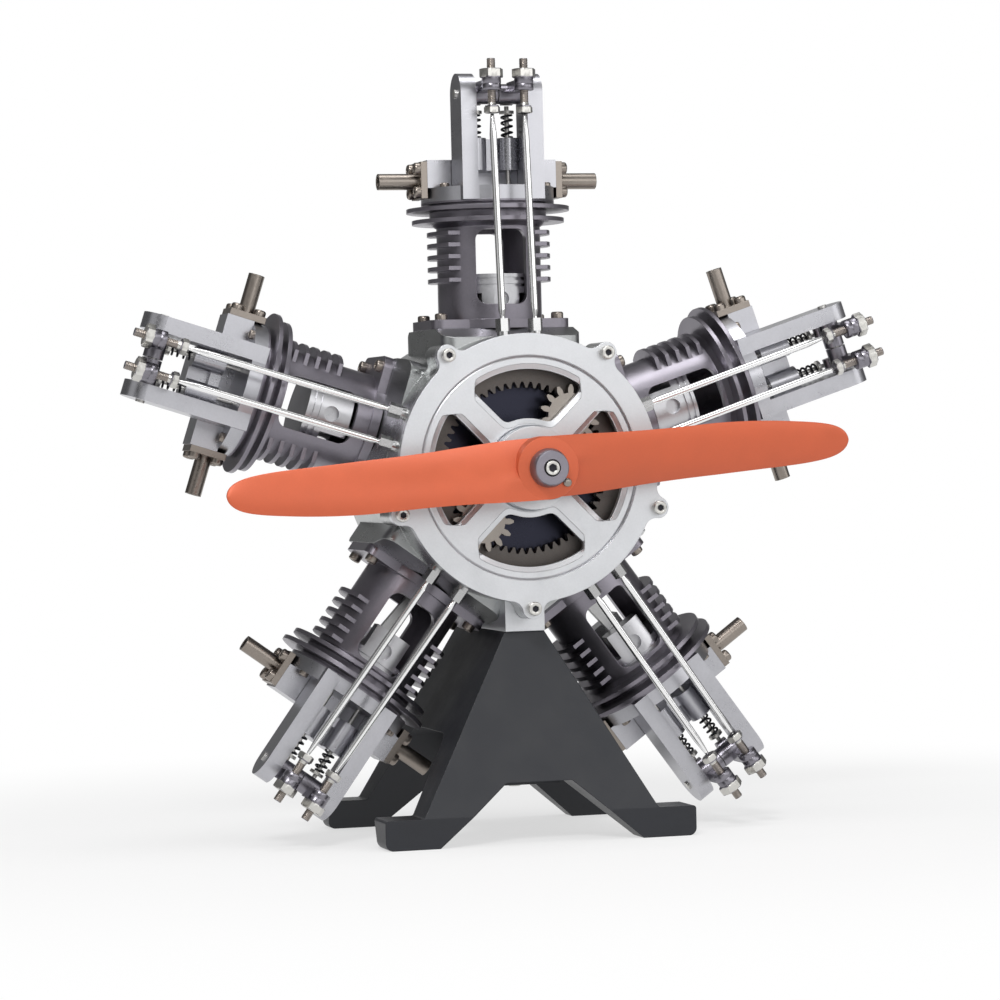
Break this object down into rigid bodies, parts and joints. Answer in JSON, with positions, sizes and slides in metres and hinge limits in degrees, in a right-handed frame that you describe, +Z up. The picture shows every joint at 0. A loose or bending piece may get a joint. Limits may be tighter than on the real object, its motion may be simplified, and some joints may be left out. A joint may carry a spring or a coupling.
{
  "type": "radial engine",
  "caption": "Desktop radial aircraft engine with finned cylinders, pushrod valve gear, a windowed timing cover and a two-blade propeller, on an A-shaped stand.",
  "frame": {"origin": "on the ground, under the middle of the engine's length and width", "axes": "+Z up, -Y the propeller's side, the crank axis along Y at Z 0.0945, +X to the right seen from the front"},
  "size_m": [0.2016, 0.0844, 0.1988],
  "materials": {
    "crankcase": "satin machined",
    "cover": "satin turned",
    "barrel": "dark anodised",
    "head": "satin machined",
    "port": "brownish steel",
    "steel": "ground steel",
    "spring": "dark spring steel",
    "bearing": "polished",
    "gear": "light cut steel",
    "ring": "sintered steel",
    "rod": "milled",
    "piston": "turned",
    "rocker": "satin steel",
    "pushrod": "polished",
    "propeller": "orange satin paint",
    "stand": "matte black powder coat"
  },
  "bodies": {
    "engine": {"crankcase": "crankcase", "front_cover": "cover", "rear_cover": "crankcase", "mounting_block": "cover", "cylinders": "barrel", "cylinder_heads": "head", "port_pipes": "port", "rocker_shafts": "steel", "valve_springs": "spring", "bearings_and_bushes": "bearing", "stand": "stand"},
    "crank": {"crankshaft": "steel", "sun_gear": "gear", "propeller": "propeller", "propeller_nut": "steel"},
    "idler_1": {"idler_gear_1": "gear"},
    "idler_2": {"idler_gear_2": "gear"},
    "cam_ring": {"cam_ring": "ring"},
    "rod_hub": {"rod_hub": "rod"},
    "crank_plug": {"crank_plug": "steel"},
    "piston_1": {"piston_1": "piston", "connecting_rod_1": "rod"},
    "rocker_1_intake": {"rocker_1_intake": "rocker"},
    "pushrod_1_intake": {"pushrod_1_intake": "pushrod"},
    "valve_1_intake": {"valve_1_intake": "steel"},
    "rocker_1_exhaust": {"rocker_1_exhaust": "rocker"},
    "pushrod_1_exhaust": {"pushrod_1_exhaust": "pushrod"},
    "valve_1_exhaust": {"valve_1_exhaust": "steel"},
    "piston_2": {"piston_2": "piston", "connecting_rod_2": "rod"},
    "rocker_2_intake": {"rocker_2_intake": "rocker"},
    "pushrod_2_intake": {"pushrod_2_intake": "pushrod"},
    "valve_2_intake": {"valve_2_intake": "steel"},
    "rocker_2_exhaust": {"rocker_2_exhaust": "rocker"},
    "pushrod_2_exhaust": {"pushrod_2_exhaust": "pushrod"},
    "valve_2_exhaust": {"valve_2_exhaust": "steel"},
    "piston_3": {"piston_3": "piston", "connecting_rod_3": "rod"},
    "rocker_3_intake": {"rocker_3_intake": "rocker"},
    "pushrod_3_intake": {"pushrod_3_intake": "pushrod"},
    "valve_3_intake": {"valve_3_intake": "steel"},
    "rocker_3_exhaust": {"rocker_3_exhaust": "rocker"},
    "pushrod_3_exhaust": {"pushrod_3_exhaust": "pushrod"},
    "valve_3_exhaust": {"valve_3_exhaust": "steel"},
    "piston_4": {"piston_4": "piston", "connecting_rod_4": "rod"},
    "rocker_4_intake": {"rocker_4_intake": "rocker"},
    "pushrod_4_intake": {"pushrod_4_intake": "pushrod"},
    "valve_4_intake": {"valve_4_intake": "steel"},
    "rocker_4_exhaust": {"rocker_4_exhaust": "rocker"},
    "pushrod_4_exhaust": {"pushrod_4_exhaust": "pushrod"},
    "valve_4_exhaust": {"valve_4_exhaust": "steel"},
    "piston_5": {"piston_5": "piston", "connecting_rod_5": "rod"},
    "rocker_5_intake": {"rocker_5_intake": "rocker"},
    "pushrod_5_intake": {"pushrod_5_intake": "pushrod"},
    "valve_5_intake": {"valve_5_intake": "steel"},
    "rocker_5_exhaust": {"rocker_5_exhaust": "rocker"},
    "pushrod_5_exhaust": {"pushrod_5_exhaust": "pushrod"},
    "valve_5_exhaust": {"valve_5_exhaust": "steel"}
  },
  "joints": [
    {"name": "crank_spin", "type": "hinge", "parent": "engine", "child": "crank", "pos_m": [0, 0.0112, 0.0945], "axis": [0, 1, 0], "continuous": true},
    {"name": "idler_1_spin", "type": "hinge", "parent": "engine", "child": "idler_1", "pos_m": [0.01171, -0.0168, 0.10751], "axis": [0, 1, 0], "continuous": true},
    {"name": "idler_2_spin", "type": "hinge", "parent": "engine", "child": "idler_2", "pos_m": [-0.01171, -0.0168, 0.08149], "axis": [0, 1, 0], "continuous": true},
    {"name": "cam_ring_spin", "type": "hinge", "parent": "engine", "child": "cam_ring", "pos_m": [0, -0.0148, 0.0945], "axis": [0, 1, 0], "continuous": true},
    {"name": "hub_turn", "type": "hinge", "parent": "crank", "child": "rod_hub", "pos_m": [0, 0.0027, 0.0869], "axis": [0, 1, 0], "continuous": true},
    {"name": "plug_turn", "type": "hinge", "parent": "crank", "child": "crank_plug", "pos_m": [0, -0.0008, 0.0907], "axis": [0, 1, 0], "continuous": true},
    {"name": "piston_1_stroke", "type": "hinge", "parent": "crank_plug", "child": "piston_1", "pos_m": [0, 0.0112, 0.0869], "axis": [0, 1, 0], "continuous": true},
    {"name": "rocker_1_intake_tilt", "type": "hinge", "parent": "engine", "child": "rocker_1_intake", "pos_m": [-0.0043, 0.00045, 0.1907], "axis": [-1, 0, 0], "range_deg": [0, 9]},
    {"name": "pushrod_1_intake_lift", "type": "slide", "parent": "engine", "child": "pushrod_1_intake", "axis": [0, 0.0924, 0.9957], "range_m": [0, 0.00158], "stiffness_N_per_m": 5, "springref_m": -0.006},
    {"name": "valve_1_intake_lift", "type": "slide", "parent": "engine", "child": "valve_1_intake", "axis": [0, 0, 1], "range_m": [-0.0009, 0]},
    {"name": "rocker_1_exhaust_tilt", "type": "hinge", "parent": "engine", "child": "rocker_1_exhaust", "pos_m": [0.0043, 0.00045, 0.1907], "axis": [-1, 0, 0], "range_deg": [0, 9]},
    {"name": "pushrod_1_exhaust_lift", "type": "slide", "parent": "engine", "child": "pushrod_1_exhaust", "axis": [0, 0.0924, 0.9957], "range_m": [0, 0.00158], "stiffness_N_per_m": 5, "springref_m": -0.006},
    {"name": "valve_1_exhaust_lift", "type": "slide", "parent": "engine", "child": "valve_1_exhaust", "axis": [0, 0, 1], "range_m": [-0.0009, 0]},
    {"name": "piston_2_stroke", "type": "hinge", "parent": "crank_plug", "child": "piston_2", "pos_m": [-0.00223, 0.0112, 0.09377], "axis": [0, 1, 0], "continuous": true},
    {"name": "rocker_2_intake_tilt", "type": "hinge", "parent": "engine", "child": "rocker_2_intake", "pos_m": [0.09016, 0.00045, 0.12832], "axis": [-0.309, 0, 0.9511], "range_deg": [0, 9]},
    {"name": "pushrod_2_intake_lift", "type": "slide", "parent": "engine", "child": "pushrod_2_intake", "axis": [0.947, 0.0924, 0.3077], "range_m": [0, 0.00158], "stiffness_N_per_m": 5, "springref_m": -0.006},
    {"name": "valve_2_intake_lift", "type": "slide", "parent": "engine", "child": "valve_2_intake", "axis": [0.9511, 0, 0.309], "range_m": [-0.0009, 0]},
    {"name": "rocker_2_exhaust_tilt", "type": "hinge", "parent": "engine", "child": "rocker_2_exhaust", "pos_m": [0.09282, 0.00045, 0.12014], "axis": [-0.309, 0, 0.9511], "range_deg": [0, 9]},
    {"name": "pushrod_2_exhaust_lift", "type": "slide", "parent": "engine", "child": "pushrod_2_exhaust", "axis": [0.947, 0.0924, 0.3077], "range_m": [0, 0.00158], "stiffness_N_per_m": 5, "springref_m": -0.006},
    {"name": "valve_2_exhaust_lift", "type": "slide", "parent": "engine", "child": "valve_2_exhaust", "axis": [0.9511, 0, 0.309], "range_m": [-0.0009, 0]},
    {"name": "piston_3_stroke", "type": "hinge", "parent": "crank_plug", "child": "piston_3", "pos_m": [0.00361, 0.0112, 0.08953], "axis": [0, 1, 0], "continuous": true},
    {"name": "rocker_3_intake_tilt", "type": "hinge", "parent": "engine", "child": "rocker_3_intake", "pos_m": [0.06002, 0.00045, 0.0192], "axis": [0.809, 0, 0.5878], "range_deg": [0, 9]},
    {"name": "pushrod_3_intake_lift", "type": "slide", "parent": "engine", "child": "pushrod_3_intake", "axis": [0.5853, 0.0924, -0.8056], "range_m": [0, 0.00158], "stiffness_N_per_m": 5, "springref_m": -0.006},
    {"name": "valve_3_intake_lift", "type": "slide", "parent": "engine", "child": "valve_3_intake", "axis": [0.5878, 0, -0.809], "range_m": [-0.0009, 0]},
    {"name": "rocker_3_exhaust_tilt", "type": "hinge", "parent": "engine", "child": "rocker_3_exhaust", "pos_m": [0.05307, 0.00045, 0.01415], "axis": [0.809, 0, 0.5878], "range_deg": [0, 9]},
    {"name": "pushrod_3_exhaust_lift", "type": "slide", "parent": "engine", "child": "pushrod_3_exhaust", "axis": [0.5853, 0.0924, -0.8056], "range_m": [0, 0.00158], "stiffness_N_per_m": 5, "springref_m": -0.006},
    {"name": "valve_3_exhaust_lift", "type": "slide", "parent": "engine", "child": "valve_3_exhaust", "axis": [0.5878, 0, -0.809], "range_m": [-0.0009, 0]},
    {"name": "piston_4_stroke", "type": "hinge", "parent": "crank_plug", "child": "piston_4", "pos_m": [-0.00361, 0.0112, 0.08953], "axis": [0, 1, 0], "continuous": true},
    {"name": "rocker_4_intake_tilt", "type": "hinge", "parent": "engine", "child": "rocker_4_intake", "pos_m": [-0.05307, 0.00045, 0.01415], "axis": [0.809, 0, -0.5878], "range_deg": [0, 9]},
    {"name": "pushrod_4_intake_lift", "type": "slide", "parent": "engine", "child": "pushrod_4_intake", "axis": [-0.5853, 0.0924, -0.8056], "range_m": [0, 0.00158], "stiffness_N_per_m": 5, "springref_m": -0.006},
    {"name": "valve_4_intake_lift", "type": "slide", "parent": "engine", "child": "valve_4_intake", "axis": [-0.5878, 0, -0.809], "range_m": [-0.0009, 0]},
    {"name": "rocker_4_exhaust_tilt", "type": "hinge", "parent": "engine", "child": "rocker_4_exhaust", "pos_m": [-0.06002, 0.00045, 0.0192], "axis": [0.809, 0, -0.5878], "range_deg": [0, 9]},
    {"name": "pushrod_4_exhaust_lift", "type": "slide", "parent": "engine", "child": "pushrod_4_exhaust", "axis": [-0.5853, 0.0924, -0.8056], "range_m": [0, 0.00158], "stiffness_N_per_m": 5, "springref_m": -0.006},
    {"name": "valve_4_exhaust_lift", "type": "slide", "parent": "engine", "child": "valve_4_exhaust", "axis": [-0.5878, 0, -0.809], "range_m": [-0.0009, 0]},
    {"name": "piston_5_stroke", "type": "hinge", "parent": "crank_plug", "child": "piston_5", "pos_m": [0.00223, 0.0112, 0.09377], "axis": [0, 1, 0], "continuous": true},
    {"name": "rocker_5_intake_tilt", "type": "hinge", "parent": "engine", "child": "rocker_5_intake", "pos_m": [-0.09282, 0.00045, 0.12014], "axis": [-0.309, 0, -0.9511], "range_deg": [0, 9]},
    {"name": "pushrod_5_intake_lift", "type": "slide", "parent": "engine", "child": "pushrod_5_intake", "axis": [-0.947, 0.0924, 0.3077], "range_m": [0, 0.00158], "stiffness_N_per_m": 5, "springref_m": -0.006},
    {"name": "valve_5_intake_lift", "type": "slide", "parent": "engine", "child": "valve_5_intake", "axis": [-0.9511, 0, 0.309], "range_m": [-0.0009, 0]},
    {"name": "rocker_5_exhaust_tilt", "type": "hinge", "parent": "engine", "child": "rocker_5_exhaust", "pos_m": [-0.09016, 0.00045, 0.12832], "axis": [-0.309, 0, -0.9511], "range_deg": [0, 9]},
    {"name": "pushrod_5_exhaust_lift", "type": "slide", "parent": "engine", "child": "pushrod_5_exhaust", "axis": [-0.947, 0.0924, 0.3077], "range_m": [0, 0.00158], "stiffness_N_per_m": 5, "springref_m": -0.006},
    {"name": "valve_5_exhaust_lift", "type": "slide", "parent": "engine", "child": "valve_5_exhaust", "axis": [-0.9511, 0, 0.309], "range_m": [-0.0009, 0]}
  ],
  "couplings": [
    {"joint": "idler_1_spin", "follows": "crank_spin", "ratio": -1.5},
    {"joint": "idler_2_spin", "follows": "crank_spin", "ratio": -1.5},
    {"joint": "cam_ring_spin", "follows": "crank_spin", "ratio": -0.25},
    {"joint": "hub_turn", "follows": "crank_spin", "ratio": -1},
    {"joint": "plug_turn", "follows": "crank_spin", "ratio": -2},
    {"joint": "piston_1_stroke", "follows": "crank_spin", "ratio": 1},
    {"joint": "rocker_1_intake_tilt", "follows": "pushrod_1_intake_lift", "rad_per_m": 93.458},
    {"joint": "valve_1_intake_lift", "follows": "pushrod_1_intake_lift", "ratio": -0.5299},
    {"joint": "rocker_1_exhaust_tilt", "follows": "pushrod_1_exhaust_lift", "rad_per_m": 93.458},
    {"joint": "valve_1_exhaust_lift", "follows": "pushrod_1_exhaust_lift", "ratio": -0.5299},
    {"joint": "piston_2_stroke", "follows": "crank_spin", "ratio": 1},
    {"joint": "rocker_2_intake_tilt", "follows": "pushrod_2_intake_lift", "rad_per_m": 93.458},
    {"joint": "valve_2_intake_lift", "follows": "pushrod_2_intake_lift", "ratio": -0.5299},
    {"joint": "rocker_2_exhaust_tilt", "follows": "pushrod_2_exhaust_lift", "rad_per_m": 93.458},
    {"joint": "valve_2_exhaust_lift", "follows": "pushrod_2_exhaust_lift", "ratio": -0.5299},
    {"joint": "piston_3_stroke", "follows": "crank_spin", "ratio": 1},
    {"joint": "rocker_3_intake_tilt", "follows": "pushrod_3_intake_lift", "rad_per_m": 93.458},
    {"joint": "valve_3_intake_lift", "follows": "pushrod_3_intake_lift", "ratio": -0.5299},
    {"joint": "rocker_3_exhaust_tilt", "follows": "pushrod_3_exhaust_lift", "rad_per_m": 93.458},
    {"joint": "valve_3_exhaust_lift", "follows": "pushrod_3_exhaust_lift", "ratio": -0.5299},
    {"joint": "piston_4_stroke", "follows": "crank_spin", "ratio": 1},
    {"joint": "rocker_4_intake_tilt", "follows": "pushrod_4_intake_lift", "rad_per_m": 93.458},
    {"joint": "valve_4_intake_lift", "follows": "pushrod_4_intake_lift", "ratio": -0.5299},
    {"joint": "rocker_4_exhaust_tilt", "follows": "pushrod_4_exhaust_lift", "rad_per_m": 93.458},
    {"joint": "valve_4_exhaust_lift", "follows": "pushrod_4_exhaust_lift", "ratio": -0.5299},
    {"joint": "piston_5_stroke", "follows": "crank_spin", "ratio": 1},
    {"joint": "rocker_5_intake_tilt", "follows": "pushrod_5_intake_lift", "rad_per_m": 93.458},
    {"joint": "valve_5_intake_lift", "follows": "pushrod_5_intake_lift", "ratio": -0.5299},
    {"joint": "rocker_5_exhaust_tilt", "follows": "pushrod_5_exhaust_lift", "rad_per_m": 93.458},
    {"joint": "valve_5_exhaust_lift", "follows": "pushrod_5_exhaust_lift", "ratio": -0.5299}
  ]
}
